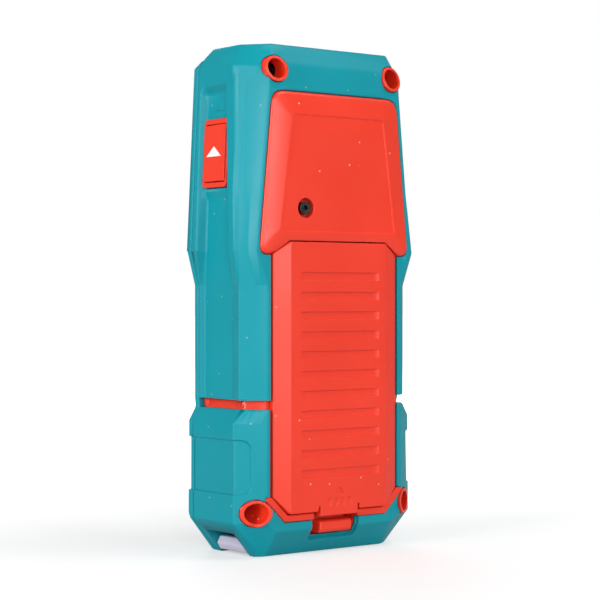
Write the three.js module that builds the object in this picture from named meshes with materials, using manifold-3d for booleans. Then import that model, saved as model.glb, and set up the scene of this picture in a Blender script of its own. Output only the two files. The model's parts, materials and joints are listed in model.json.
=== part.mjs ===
// Handheld laser distance meter, standing on its bottom end.
// Millimetres. +Z is up, along the case, towards the end that the laser leaves.
// -Y is the front, with the display and the keys. +Y is the back, with the battery cover.
// The origin is the centre of the bottom end, on the surface that the meter stands on.
import * as THREE from "three";
import { mergeVertices } from "three/addons/utils/BufferGeometryUtils.js";
import Module from "manifold-3d";

const wasm = await Module();
wasm.setup();

// ---------------------------------------------------------------------------------------------
// Driving dimensions
// ---------------------------------------------------------------------------------------------
const HEIGHT = 118;
const UPPER_HALF = 27.05; // half width at the shoulder, the widest place
const HALF_DEPTH = 13.5; // from the middle plane to the keys, and to the upper back panel
const KEY_PROUD = 0.9;
const FRONT = HALF_DEPTH - KEY_PROUD; // front face
const BACK = HALF_DEPTH - 1.4; // back face of the soft skin

const SKIN = 1.3; // soft teal skin
const WALL = 1.7; // hard case wall
const BOND = 0.15; // between the skin and the case that it is moulded on
const JOINT_GAP = 0.3; // between two pieces that meet
const SLIDE_GAP = 0.3; // round a key or a button
const PARTING = -8.4; // plane between the front and the rear case

// Battery bay
const CELL_R = 5.25;
const CELL_LENGTH = 44.5;
const CELL_COUNT = 3;
const CELL_PITCH = 2 * CELL_R + 0.25;
const NUB_R = 2.75;
const NUB_LENGTH = 1.2;
const SPRING_LENGTH = 4.2;
const SPRING_WIRE_R = 0.35;
const PLATE = 0.4; // contact plate
const BAY_BOTTOM = 16.4;
const BAY_LENGTH = CELL_LENGTH + SPRING_LENGTH + 2 * PLATE + 4 * JOINT_GAP;
const BAY_TOP = BAY_BOTTOM + BAY_LENGTH;
const BAY_HALF = (CELL_COUNT * CELL_PITCH) / 2 + 0.5;
const BAY_WALL = 1.2;

// Battery cover
const COVER_FLAT = BACK + 1.3; // outer face
const COVER_EDGE = BACK; // outer face along the two long edges
const COVER_THICK = 1.6;
const COVER_HALF = BAY_HALF + 1.9;
const COVER_FOLD = COVER_HALF - 4.2; // where the flat turns down to the edge
const COVER_GAP = 0.65; // open line between the cover and the skin on the long edges
const COVER_BOTTOM = BAY_BOTTOM - 6.4;
const COVER_TOP = BAY_TOP + 5.4;
const COVER_CORNER = 4.0; // height of the cut corners at the bottom
const COVER_CORNER_TOP = 2.7; // and at the top
const TONGUE_LOW = COVER_BOTTOM - 1.1; // end of the tongue between the two slots
const RIM = 1.9; // hard rim below the cover

// Case stations, from the bottom up
const WAIST_HALF = UPPER_HALF - 2.15;
const LOWER_HALF = UPPER_HALF - 0.45;
const TOP_HALF = UPPER_HALF - 2.4;
const LOWER_TOP = 31; // top of the full-width lower part
const BAND_LOW = 34.1; // the hard case shows between these two heights
const BAND_HIGH = 36.2;
const SHOULDER = COVER_TOP - 2;
const WAIST_TOP = SHOULDER - 8;
const SIDE_FRONT = -10; // where the side face starts
const SCOOP = 0.85; // hollow of the upper rear corners, at the shoulder; it runs out at the top
const REAR_LOW = 7.6; // where the side face ends at the back, below the shoulder
const FRONT_CHAMFER = 4.2; // how far the front face is narrower than the case, on each side
const BACK_HALF_WAIST = COVER_HALF + 1.6;
const BACK_HALF_SHOULDER = UPPER_HALF - 3.75;
const BACK_HALF_TOP = TOP_HALF - 5.9;

// Finger groove in each side
const GROOVE_DEEP = 1.6; // beside the button
const GROOVE_LOW = 2.4; // below the button
const GROOVE_SHALLOW = 1.0;
const GROOVE_RUN = 0.9; // how far its front wall leans
const GROOVE_STEP = HEIGHT - 33.7; // where the deeper part starts
const GROOVE_END = HEIGHT - 10.8; // where its floor ends at the top
const GROOVE_END_RUN = 1.9;

// Upper back panel
const PANEL_TOP = HEIGHT - 10.9;
const PANEL_BOTTOM = COVER_TOP - COVER_CORNER_TOP - 0.2;
const PANEL_TOP_HALF = TOP_HALF - 5.95;
const PANEL_BOTTOM_HALF = BACK_HALF_SHOULDER - 0.9;
const PANEL_EDGE = BACK + 0.5;
const PANEL_FLAT = HALF_DEPTH;
const PANEL_SLOPE = 4.6; // width of its sloping border
const PANEL_INSET = 0.25; // depth of the sunk field inside the border
const PANEL_CORNER = { top: 3.2, low: 2.2 };

// Screws
const BOSS_R = 3.05;
const WELL_R = 2.35;
const RING_PROUD = 0.3; // of the ring round each screw well, above the skin
const TOP_RING_LEAN = { x: 0.1, z: 0.25 }; // slopes of the face that ends each upper ring
const SCREW_HEAD_R = 1.9;
const SCREW_R = 1.0;
const SCREW_LENGTH = 7.4;
const WELL_FLOOR = -5.2;
const TOP_BOSS = { x: TOP_HALF - 7.25, z: HEIGHT - 5.95 };
const LOW_BOSS = { x: LOWER_HALF - 4.2, z: 10.5 };
const PANEL_SCREW = { x: 9.85, z: COVER_TOP + 7.8 };
const PANEL_SCREW_DEPTH = 2.1;

// Side button
const SIDE_LEAN = Math.atan((UPPER_HALF - TOP_HALF) / (HEIGHT - SHOULDER)); // of the upper side face
const BUTTON_Y = -1.3;
const BUTTON_Z = HEIGHT - 24.85;
const BUTTON_FRAME = { w: 9.4, h: 15.9 };
const BUTTON_CAP = { w: 7.9, h: 13.1 };
const BUTTON_TRAVEL = 0.7;

// Latch of the battery cover
const LATCH_HALF = 5.6;
const LATCH_SLOT = 0.6;
const LATCH_TRAVEL = 1.0;
const LATCH_LOW = 4.8;
const LATCH_HIGH = 7.7;
const LATCH_RECESS_HALF = 7.1;

// Wrist-strap pocket in the lower corner of the +X side
const STRAP = { x: 12.8, yFront: -6.2, yBack: 4.7, z: 5.5 };
const STRAP_LINING = 0.8; // the soft skin turns into the pocket
const STRAP_BAR = { x: 19.5, z: 2.25, r: 1.85 };

// Front: display and keys
const FRONT_WALL = 1.8;
const WINDOW = { half: WAIST_HALF - 6.4, low: WAIST_TOP - 2, high: HEIGHT - 12.5, thick: 1.0, corner: 3 };
const VIEW_MARGIN = 2.6; // glued border of the window
const KEY_TRAVEL = 0.6;
const KEY_FLANGE = 0.6;
const KEY_COLUMN = WAIST_HALF - 10.4;
const KEY_LOW = 18.5; // lowest row
const KEY_SPAN = WINDOW.low - 14.5 - KEY_LOW; // from the lowest row to the highest
const KEY_ROWS = [KEY_LOW + KEY_SPAN, KEY_LOW + 0.473 * KEY_SPAN, KEY_LOW];
const KEY_SIZE = { w: 10, h: 0.276 * KEY_SPAN };
const MEASURE_KEY = 0.509 * KEY_SPAN; // across the round key
const KEYS = [
  { name: "key_area", column: -1, row: 0, ...KEY_SIZE },
  { name: "key_measure", column: 0, row: 0, w: MEASURE_KEY, h: MEASURE_KEY },
  { name: "key_triangle", column: 1, row: 0, ...KEY_SIZE },
  { name: "key_plus", column: -1, row: 1, ...KEY_SIZE },
  { name: "key_timer", column: 0, row: 1, ...KEY_SIZE },
  { name: "key_minus", column: 1, row: 1, ...KEY_SIZE },
  { name: "key_power", column: -1, row: 2, ...KEY_SIZE },
  { name: "key_reference", column: 0, row: 2, ...KEY_SIZE },
  { name: "key_memory", column: 1, row: 2, ...KEY_SIZE },
];
const MAT_THICK = 0.8;
const BOARD_THICK = 1.6;
const BOARD = { half: WAIST_HALF - 5.4, low: 14.4, high: HEIGHT - 12 };
const BOARD_POST = { x: WAIST_HALF - 8.4, z: WINDOW.low - 4.1, r: 2.0 };
const CHIP = { half: 5, low: KEY_ROWS[0] - 10, thick: 1.35 };
const BUZZER = { x: -9, z: BOARD_POST.z + 5.6, r: 4.5, thick: 3.35 };

// Optics, in the top end
const OPTICS = { half: 14.7, yBack: 8.4, low: COVER_TOP + 13.5, high: HEIGHT - 3.4 };
const APERTURE = { half: 17.2, yFront: -8.0, yBack: 8.4, corner: 3.2, thick: 2.7, sunk: 0.4 };
const RECEIVER = { x: 7.2, y: 1.0, r: 6.6 };
const EMITTER = { x: -9.2, y: 1.0, r: 2.4 };
const BARREL_R = 3.4;

// ---------------------------------------------------------------------------------------------
// Materials
// ---------------------------------------------------------------------------------------------
const paint = (color, roughness, metalness = 0) =>
  new THREE.MeshStandardMaterial({ color, roughness, metalness });
const teal = paint(0x008f9c, 0.55);
const orange = paint(0xf0442e, 0.5);
const rubber = paint(0x2a2d31, 0.8);
const black = paint(0x121315, 0.5);
const board = paint(0x0f5a35, 0.5);
const glass = paint(0x30383c, 0.1);
const lcd = paint(0x9aa79b, 0.3);
const steel = paint(0xb9b6c4, 0.4, 0.9);
const darkSteel = paint(0x2d2b2c, 0.4, 0.8);
const brass = paint(0xb08a3c, 0.35, 1);
const cellWrap = paint(0x3a3f46, 0.35, 0.3);

// ---------------------------------------------------------------------------------------------
// Solids
// ---------------------------------------------------------------------------------------------
const group = new THREE.Group();

// A closed three.js geometry as a manifold-3d solid.
function solidOf(geometry) {
  const bare = geometry.clone();
  for (const name of Object.keys(bare.attributes)) {
    if (name !== "position") bare.deleteAttribute(name);
  }
  const merged = mergeVertices(bare, 1e-4);
  return new wasm.Manifold(
    new wasm.Mesh({
      numProp: 3,
      vertProperties: merged.attributes.position.array,
      triVerts: new Uint32Array(merged.index.array),
    }),
  );
}

// Adds a solid to the part as a named mesh.
function place(name, solid, material) {
  const { vertProperties, triVerts } = solid.getMesh();
  const geometry = new THREE.BufferGeometry();
  geometry.setAttribute("position", new THREE.BufferAttribute(new Float32Array(vertProperties), 3));
  geometry.setIndex(new THREE.BufferAttribute(new Uint32Array(triVerts), 1));
  geometry.computeVertexNormals();
  const mesh = new THREE.Mesh(geometry, material);
  mesh.name = name;
  group.add(mesh);
}

const join = (first, ...rest) => rest.reduce((made, next) => made.add(next), first);
const cut = (first, ...rest) => rest.reduce((made, next) => made.subtract(next), first);

function box(x0, x1, y0, y1, z0, z1) {
  const geometry = new THREE.BoxGeometry(x1 - x0, y1 - y0, z1 - z0);
  return solidOf(geometry.translate((x0 + x1) / 2, (y0 + y1) / 2, (z0 + z1) / 2));
}

const polygon = (points) => new THREE.Shape(points.map(([a, b]) => new THREE.Vector2(a, b)));

// Rectangle centred on (a, b) with round corners.
function roundRect(a, b, w, h, r) {
  const shape = new THREE.Shape();
  const [left, right, low, high] = [a - w / 2, a + w / 2, b - h / 2, b + h / 2];
  shape.moveTo(left + r, low);
  shape.lineTo(right - r, low).absarc(right - r, low + r, r, -Math.PI / 2, 0);
  shape.lineTo(right, high - r).absarc(right - r, high - r, r, 0, Math.PI / 2);
  shape.lineTo(left + r, high).absarc(left + r, high - r, r, Math.PI / 2, Math.PI);
  shape.lineTo(left, low + r).absarc(left + r, low + r, r, Math.PI, 1.5 * Math.PI);
  return shape;
}

function extruded(shape, length) {
  return new THREE.ExtrudeGeometry(shape, { depth: length, bevelEnabled: false, curveSegments: 4 });
}

// Prism of an outline drawn in (x, y), from z0 to z1.
const slabZ = (shape, z0, z1) => solidOf(extruded(shape, z1 - z0).translate(0, 0, z0));

// Prism of an outline drawn in (x, z), from y0 to y1.
function slabY(shape, y0, y1) {
  return solidOf(extruded(shape, y1 - y0).rotateX(Math.PI / 2).translate(0, y1, 0));
}

// Prism of an outline drawn in (y, z), from x0 to x1.
const YZ_TO_X = new THREE.Matrix4().makeBasis(
  new THREE.Vector3(0, 1, 0),
  new THREE.Vector3(0, 0, 1),
  new THREE.Vector3(1, 0, 0),
);
const slabX = (shape, x0, x1) =>
  solidOf(extruded(shape, x1 - x0).applyMatrix4(YZ_TO_X).translate(x0, 0, 0));

function rodY(x, z, r, y0, y1, sides = 20) {
  const geometry = new THREE.CylinderGeometry(r, r, y1 - y0, sides);
  return solidOf(geometry.translate(x, (y0 + y1) / 2, z));
}

function rodZ(x, y, r, z0, z1, sides = 20, rTop = r) {
  const geometry = new THREE.CylinderGeometry(rTop, r, z1 - z0, sides).rotateX(Math.PI / 2);
  return solidOf(geometry.translate(x, y, (z0 + z1) / 2));
}

// Solid of revolution about Z: the profile is [radius, height] pairs from the low end of the axis up.
function turnedZ(profile, x, y, sides = 24) {
  const points = profile.map(([r, h]) => new THREE.Vector2(r, h));
  return solidOf(new THREE.LatheGeometry(points, sides).rotateX(Math.PI / 2).translate(x, y, 0));
}

// Skin through rings of points that run anticlockwise seen from above, closed by a flat cap at each end.
function loft(rings) {
  const count = rings[0].length;
  const index = [];
  rings.slice(1).forEach((ring, k) => {
    for (let i = 0; i < count; i++) {
      const [a, b] = [k * count + i, k * count + ((i + 1) % count)];
      index.push(a, b, b + count, a, b + count, a + count);
    }
  });
  const capOf = (ring) => THREE.ShapeUtils.triangulateShape(ring.map((p) => new THREE.Vector2(p.x, p.y)), []);
  const last = (rings.length - 1) * count;
  for (const [a, b, c] of capOf(rings[0])) index.push(a, c, b);
  for (const [a, b, c] of capOf(rings.at(-1))) index.push(last + a, last + b, last + c);
  const geometry = new THREE.BufferGeometry().setFromPoints(rings.flat());
  return solidOf(geometry.setIndex(index));
}

// Everything beyond a plane given by a point and its outward direction.
function beyond(point, outward) {
  const size = 4 * HEIGHT;
  const turn = new THREE.Quaternion().setFromUnitVectors(new THREE.Vector3(0, 0, 1), outward);
  const geometry = new THREE.BoxGeometry(size, size, size).translate(0, 0, size / 2);
  return solidOf(geometry.applyQuaternion(turn).translate(point.x, point.y, point.z));
}

// ---------------------------------------------------------------------------------------------
// Case outline
// ---------------------------------------------------------------------------------------------
// side: half width. rear: where the side face ends at the back. back: half width of the back face.
// dip: depth of the finger groove, whose floor ends at dipRear and whose rear rim starts at rim.
// scoop: how hollow the rear corner is.
const PLAIN = { dip: 0, dipRear: 3.7, rim: 5.4, dipFront: -6.9, scoop: 0 };
const station = (z, side, rear, back, details = {}) => ({ ...PLAIN, z, side, rear, back, ...details });

// The upper part tapers from the shoulder to the top; this gives its station at any height.
function taper(z, dip) {
  const t = (z - SHOULDER) / (HEIGHT - SHOULDER);
  const mix = (low, high) => low + t * (high - low);
  const groove = { dip, dipRear: mix(5.0, 1.4), rim: mix(6.2, 2.2), dipFront: mix(-6.4, -7.1) };
  const back = mix(BACK_HALF_SHOULDER, BACK_HALF_TOP);
  const scoop = mix(SCOOP, 0);
  return station(z, mix(UPPER_HALF, TOP_HALF), mix(8.5, 4.2), back, { ...groove, scoop });
}

const WAIST_GROOVE = { dip: GROOVE_SHALLOW, rim: 7.2, dipFront: -7.8 };
const STATIONS = [
  station(0, LOWER_HALF, REAR_LOW, BACK_HALF_WAIST + 0.1),
  station(LOWER_TOP, LOWER_HALF, REAR_LOW, BACK_HALF_WAIST + 0.1),
  station(BAND_LOW, WAIST_HALF - 0.2, REAR_LOW, BACK_HALF_WAIST),
  station(BAND_HIGH, WAIST_HALF, REAR_LOW, BACK_HALF_WAIST, WAIST_GROOVE),
  station(WAIST_TOP, WAIST_HALF, REAR_LOW, BACK_HALF_WAIST, WAIST_GROOVE),
  taper(SHOULDER, GROOVE_LOW),
  taper(GROOVE_STEP - 1.8, GROOVE_LOW),
  taper(GROOVE_STEP, GROOVE_DEEP),
  taper(GROOVE_END, GROOVE_DEEP),
  taper(GROOVE_END + GROOVE_END_RUN, 0),
  taper(HEIGHT, 0),
];

// Points along each rear corner, from the side face to the back face. They stand out by a faint
// crease, or in by the scoop of the station.
const CREASE = 0.2;
const CREASE_AT = 0.6;
const CORNER_STEPS = 5;

// Right-hand half of the outline at a station, from the front face round to the back face.
function halfOutline(s, grooved) {
  const along = new THREE.Vector2(s.back - s.side, BACK - s.rear);
  const out = new THREE.Vector2(along.y, -along.x).normalize();
  const corner = Array.from({ length: CORNER_STEPS - 1 }, (_, i) => {
    const t = (i + 1) / CORNER_STEPS;
    const ridge = t < CREASE_AT ? t / CREASE_AT : (1 - t) / (1 - CREASE_AT);
    const shift = s.scoop > 0 ? -s.scoop * 4 * t * (1 - t) : CREASE * ridge;
    return [s.side + along.x * t + out.x * shift, s.rear + along.y * t + out.y * shift];
  });
  const groove = [
    [s.side, s.dipFront],
    [s.side - s.dip, s.dipFront + GROOVE_RUN],
    [s.side - s.dip, s.dipRear],
    [s.side, s.rim],
  ];
  return [
    [s.side - FRONT_CHAMFER, -FRONT],
    [s.side, SIDE_FRONT],
    ...(grooved ? groove : []),
    [s.side, s.rear],
    ...corner,
    [s.back, BACK],
  ];
}

// Moves each corner of a closed outline inwards, so that each edge moves by the given distance.
function inset(points, distance) {
  return points.map((p, i) => {
    const [before, after] = [points.at(i - 1), points[(i + 1) % points.length]];
    const d1 = new THREE.Vector2().subVectors(p, before).normalize();
    const d2 = new THREE.Vector2().subVectors(after, p).normalize();
    const [n1, n2] = [new THREE.Vector2(-d1.y, d1.x), new THREE.Vector2(-d2.y, d2.x)];
    const along = n1.clone().add(n2).divideScalar(1 + n1.dot(n2));
    return p.clone().addScaledVector(along, distance);
  });
}

// The planes that bevel the two ends, each by a point and an outward direction.
function plane(a, b, c) {
  const normal = new THREE.Vector3().crossVectors(b.clone().sub(a), c.clone().sub(a)).normalize();
  const middle = new THREE.Vector3(0, 0, HEIGHT / 2);
  if (normal.dot(a.clone().sub(middle)) < 0) normal.negate();
  return { point: a, normal };
}

const v = (x, y, z) => new THREE.Vector3(x, y, z);
const mirrored = (p) => v(-p.x, p.y, p.z);
const FOOT_HALF = LOWER_HALF - 6.95; // half width of the flat bottom end
const HEAD_HALF = TOP_HALF - 2.6; // and of the flat top end
const FOOT_BEVEL = 6.0;
const HEAD_BEVEL = 5.1;
const END_FRONT = 1.6 - FRONT; // front and back edges of the flat ends
const FOOT_BACK = 7.66;
const HEAD_BACK = 9.9;
const HEAD_FRONT = -10;
const HEAD_SIDE = { x: TOP_HALF + 0.25, z: HEIGHT - 4.8 }; // lower edge of the bevel at the top of each side

const CORNER_PLANES = [
  // bottom: side, back corner, front corner
  [v(FOOT_HALF, 0, 0), v(FOOT_HALF, 1, 0), v(LOWER_HALF, 0, 8.25)],
  [v(FOOT_HALF, FOOT_BACK - 1.26, 0), v(FOOT_HALF - 2.35, BACK, FOOT_BEVEL), v(LOWER_HALF, REAR_LOW, 7.7)],
  [v(FOOT_HALF, END_FRONT + 1, 0), v(FOOT_HALF - 1.5, END_FRONT, 0), v(LOWER_HALF, SIDE_FRONT, 9)],
  // top: side, back corner, front corner
  [v(HEAD_SIDE.x, 0, HEAD_SIDE.z), v(HEAD_SIDE.x, 1, HEAD_SIDE.z), v(HEAD_HALF, 0, HEIGHT)],
  [
    v(TOP_HALF - 7.41, HEAD_BACK, HEIGHT),
    v(TOP_HALF - 5.75, BACK, HEIGHT - HEAD_BEVEL),
    v(HEAD_SIDE.x, 4.45, HEAD_SIDE.z),
  ],
  [
    v(TOP_HALF - 7.15, HEAD_FRONT, HEIGHT),
    v(HEAD_HALF, -6.24, HEIGHT),
    v(HEAD_SIDE.x, -10.1, HEAD_SIDE.z + 0.1),
  ],
];
const MIDDLE_PLANES = [
  [v(0, FOOT_BACK, 0), v(1, FOOT_BACK, 0), v(0, BACK, FOOT_BEVEL)],
  [v(0, END_FRONT, 0), v(1, END_FRONT, 0), v(0, -FRONT, 4.5)],
  [v(0, HEAD_BACK, HEIGHT), v(1, HEAD_BACK, HEIGHT), v(0, BACK, HEIGHT - HEAD_BEVEL)],
  [v(0, HEAD_FRONT, HEIGHT), v(1, HEAD_FRONT, HEIGHT), v(0, -FRONT, HEIGHT - HEAD_BEVEL)],
];
const END_PLANES = [
  ...CORNER_PLANES.flatMap((corner) => [corner, corner.map(mirrored)]),
  ...MIDDLE_PLANES,
].map((points) => plane(...points));

// The case as one solid, each face moved inwards by a distance, or outwards where it is negative.
function body(stations, { shrink = 0, grooved = false, z0 = 0, z1 = HEIGHT } = {}) {
  const rings = stations.map((s) => {
    const right = halfOutline(s, grooved).map(([x, y]) => new THREE.Vector2(x, y));
    const left = right.map((p) => new THREE.Vector2(-p.x, p.y)).reverse();
    return inset([...right, ...left], shrink).map((p) => v(p.x, p.y, s.z));
  });
  const [low, high] = [Math.max(z0, shrink), Math.min(z1, HEIGHT - shrink)];
  const wide = 2 * UPPER_HALF;
  const clipped = loft(rings).intersect(box(-wide, wide, -wide, wide, low, high));
  return cut(
    clipped,
    ...END_PLANES.map(({ point, normal }) => beyond(point.clone().addScaledVector(normal, -shrink), normal)),
  );
}

const FAR = 3 * UPPER_HALF; // past the outside of the case
const rearOf = (y) => box(-FAR, FAR, y, FAR, -FAR, HEIGHT + FAR);
const frontOf = (y) => box(-FAR, FAR, -FAR, y, -FAR, HEIGHT + FAR);

// Room inside the case. Its sides clear the floor of the finger groove.
const ROOM_STATIONS = STATIONS.map((s) => ({ ...s, side: s.side - s.dip }));
const room = body(ROOM_STATIONS, { shrink: SKIN + WALL });

// ---------------------------------------------------------------------------------------------
// Shapes that several pieces share
// ---------------------------------------------------------------------------------------------
const bothSides = (make) => [make(1), make(-1)];
const BOSSES = [TOP_BOSS, LOW_BOSS].flatMap(({ x, z }) => bothSides((side) => ({ x: side * x, z })));

// Outline of the battery cover, grown by a distance.
function coverOutline(grow, { low = COVER_BOTTOM, high = COVER_TOP } = {}) {
  const half = COVER_HALF + grow;
  const fold = COVER_FOLD + grow * 0.41;
  return polygon([
    [-fold, low - grow],
    [fold, low - grow],
    [half, low + COVER_CORNER - grow * 0.41],
    [half, high - COVER_CORNER_TOP + grow * 0.41],
    [fold, high + grow],
    [-fold, high + grow],
    [-half, high - COVER_CORNER_TOP + grow * 0.41],
    [-half, low + COVER_CORNER - grow * 0.41],
  ]);
}

// Outline of the upper panel, a trapezoid with round corners, grown by a distance.
function panelOutline(grow, cornerTop = PANEL_CORNER.top, cornerLow = PANEL_CORNER.low) {
  const [low, high] = [PANEL_BOTTOM - grow, PANEL_TOP + grow];
  const [halfLow, halfHigh] = [PANEL_BOTTOM_HALF + grow, PANEL_TOP_HALF + grow];
  const lean = (halfLow - halfHigh) / (high - low);
  const shape = new THREE.Shape();
  shape.moveTo(-halfLow + cornerLow, low);
  shape.lineTo(halfLow - cornerLow, low);
  shape.quadraticCurveTo(halfLow, low, halfLow - lean * cornerLow, low + cornerLow);
  shape.lineTo(halfHigh + lean * cornerTop, high - cornerTop);
  shape.quadraticCurveTo(halfHigh, high, halfHigh - cornerTop, high);
  shape.lineTo(-halfHigh + cornerTop, high);
  shape.quadraticCurveTo(-halfHigh, high, -halfHigh - lean * cornerTop, high - cornerTop);
  shape.lineTo(-halfLow + lean * cornerLow, low + cornerLow);
  shape.quadraticCurveTo(-halfLow, low, -halfLow + cornerLow, low);
  return shape;
}

// The side button and what holds it stand square to the leaning side face.
const SIDE_AT_BUTTON = taper(BUTTON_Z, 0).side;
function onSide(solid) {
  return solid.rotate([0, (-SIDE_LEAN * 180) / Math.PI, 0]).translate([SIDE_AT_BUTTON, BUTTON_Y, BUTTON_Z]);
}
const sidePlate = (w, h, r, x0, x1) => onSide(slabX(roundRect(0, 0, w, h, r), x0, x1));

// Lowered field round each lower corner, for the hand.
const PAD = { low: 14.75, high: 27.2, deep: 0.45, inner: LOWER_HALF - 3.3 };
function padCut() {
  const inner = body(STATIONS, { shrink: PAD.deep });
  const [w, h] = [2 * UPPER_HALF, PAD.high - PAD.low];
  const field = (side) => slabY(roundRect(side * (PAD.inner + w / 2), PAD.low + h / 2, w, h, 2), -FAR, FAR);
  return bothSides((side) => field(side).subtract(inner));
}

// ---------------------------------------------------------------------------------------------
// Rear case: hard orange shell with the screw wells, the upper panel and the battery bay
// ---------------------------------------------------------------------------------------------
const LEDGE = BACK - SKIN - BOND; // outer face of the hard back wall
const CORE_BACK = BACK - SKIN - WALL; // inner face of the hard back wall
const BAY_FLOOR = COVER_FLAT - COVER_THICK - JOINT_GAP - 2 * CELL_R - 0.25;
const CELL_Y = BAY_FLOOR + 0.25 + CELL_R;
const core = body(STATIONS, { shrink: SKIN + BOND, grooved: true });
const proud = body(STATIONS, { shrink: -RING_PROUD });
const envelope = body(STATIONS);

const coverSeat = slabY(coverOutline(COVER_GAP), LEDGE, FAR);

function upperPanel() {
  const rings = [
    [0, LEDGE - WALL],
    [0, PANEL_EDGE - 0.5],
    [0.5, PANEL_EDGE],
    [PANEL_SLOPE, PANEL_FLAT],
  ].map(([shrink, y]) =>
    panelOutline(-shrink, PANEL_CORNER.top - shrink * 0.4, PANEL_CORNER.low - shrink * 0.2)
      .getPoints(4)
      .map((p) => v(p.x, -p.y, y))
      .reverse(),
  );
  const standing = loft(rings).rotate([-90, 0, 0]); // stacked along Z, then turned to face the back
  const field = slabY(panelOutline(-PANEL_SLOPE - 0.7, 1, 1), PANEL_FLAT - PANEL_INSET, FAR);
  return cut(standing, field, slabY(coverOutline(JOINT_GAP), COVER_EDGE - COVER_THICK - 0.4, FAR));
}

function bayTub() {
  const half = BAY_HALF + BAY_WALL;
  return box(-half, half, BAY_FLOOR - BAY_WALL, LEDGE - 0.5, BAY_BOTTOM - BAY_WALL, BAY_TOP + BAY_WALL);
}

// The lower rings end in one slanting face, in line with the rear corner that they stand in.
function slantingEnd(x, z) {
  const side = Math.sign(x);
  const [a, b] = halfOutline(STATIONS[0], false).slice(-2);
  const out = v(side * (b[1] - a[1]), a[0] - b[0], 0).normalize();
  const point = v(side * b[0], b[1], 0).addScaledVector(out, RING_PROUD);
  const half = BOSS_R + 1;
  const [near, far] = [x, x - side * half].sort((p, q) => p - q);
  return box(near, far, 0, FAR, z - half, z + half).subtract(beyond(point, out));
}

function wellTube({ x, z }) {
  const tube = rodY(x, z, BOSS_R, PARTING + JOINT_GAP, FAR, 28);
  if (z === LOW_BOSS.z) return tube.intersect(join(proud, slantingEnd(x, z)));
  const out = v(Math.sign(x) * TOP_RING_LEAN.x, 1, TOP_RING_LEAN.z).normalize();
  return tube.subtract(beyond(v(x, BACK, z), out));
}

function wellBore({ x, z }) {
  return join(rodY(x, z, WELL_R, WELL_FLOOR, FAR, 24), rodY(x, z, SCREW_R + 0.2, -FAR, FAR, 16));
}

const LATCH_POCKET = {
  half: LATCH_RECESS_HALF - 0.6,
  low: LATCH_LOW - 0.5,
  high: BAY_BOTTOM - BAY_WALL - 1,
  floor: 7.4,
};

function latchPocket(grow) {
  const p = LATCH_POCKET;
  return box(-p.half - grow, p.half + grow, p.floor - grow, grow ? LEDGE : FAR, p.low - grow, p.high + grow);
}

function strapPocket(grow) {
  return box(STRAP.x - grow, FAR, STRAP.yFront - grow, STRAP.yBack + grow, -FAR, STRAP.z + grow);
}

const HOOK = { x: 10, w: 4.4, reach: 1.7, y: CORE_BACK - 0.1, thick: 1.0 };

function coverHookSlots() {
  return bothSides((side) => {
    const [a, b] = [side * HOOK.x - HOOK.w / 2 - 0.4, side * HOOK.x + HOOK.w / 2 + 0.4];
    return box(a, b, HOOK.y - 3.2, LEDGE + 0.2, BAY_TOP - 0.4, COVER_TOP + HOOK.reach + 0.8);
  });
}

// The rim runs round the lower end of the cover only.
function rimOutline(grow, y0, y1) {
  const below = box(-FAR, FAR, -FAR, FAR, -FAR, COVER_BOTTOM + COVER_CORNER + grow);
  return slabY(coverOutline(RIM + grow), y0, y1).intersect(below);
}

function rearHousing() {
  const rear = rearOf(PARTING + JOINT_GAP);
  const shell = cut(core.intersect(rear), room);
  const rim = rimOutline(0, LEDGE - 0.2, BACK + 0.1);
  const added = join(
    shell,
    bayTub().intersect(rear),
    rim.intersect(proud),
    upperPanel(),
    latchPocket(BAY_WALL).intersect(core),
    strapPocket(STRAP_LINING + BOND + BAY_WALL).intersect(core).intersect(rear),
    ...BOSSES.map(wellTube),
    rodY(PANEL_SCREW.x, PANEL_SCREW.z, WELL_R + 1.2, CORE_BACK - 0.4, LEDGE, 24),
  );
  const bay = box(-BAY_HALF, BAY_HALF, BAY_FLOOR, FAR, BAY_BOTTOM, BAY_TOP);
  const coverRoom = slabY(coverOutline(JOINT_GAP), LEDGE, FAR).intersect(
    box(-FAR, FAR, -FAR, FAR, -FAR, COVER_TOP - COVER_CORNER_TOP),
  );
  const gapHalf = LATCH_HALF + LATCH_SLOT;
  const latchGap = box(-gapHalf, gapHalf, LEDGE - 3, FAR, -FAR, COVER_BOTTOM + 2);
  const seat = onSide(slabX(roundRect(0, 0, BUTTON_FRAME.w + 0.4, BUTTON_FRAME.h + 0.4, 1.2), -7, 6));
  return cut(
    added,
    bay,
    coverRoom,
    latchPocket(0),
    latchGap,
    strapPocket(STRAP_LINING + BOND),
    seat,
    topOpening(0.15),
    ...BOSSES.map(wellBore),
    ...coverHookSlots(),
    rodY(PANEL_SCREW.x, PANEL_SCREW.z, WELL_R, PANEL_FLAT - PANEL_SCREW_DEPTH, FAR, 24),
    rodY(PANEL_SCREW.x, PANEL_SCREW.z, SCREW_R, -FAR, FAR, 16),
    strapBar(0.2),
  );
}

// ---------------------------------------------------------------------------------------------
// Soft skins
// ---------------------------------------------------------------------------------------------
function topOpening(grow) {
  const a = APERTURE;
  const [w, d] = [2 * (a.half + grow), a.yBack - a.yFront + 2 * grow];
  const outline = roundRect(0, (a.yFront + a.yBack) / 2, w, d, a.corner + grow);
  return slabZ(outline, TOP_BOSS.z - BOSS_R - JOINT_GAP, HEIGHT + FAR);
}

function ringHoles() {
  return BOSSES.map(({ x, z }) => rodY(x, z, BOSS_R + BOND, -FAR, FAR, 28));
}

function skin(z0, z1) {
  const outside = body(STATIONS, { grooved: true, z0, z1 }).intersect(rearOf(PARTING + JOINT_GAP));
  return cut(
    outside,
    body(STATIONS, { shrink: SKIN, grooved: true }),
    coverSeat,
    ...ringHoles(),
  );
}

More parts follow.
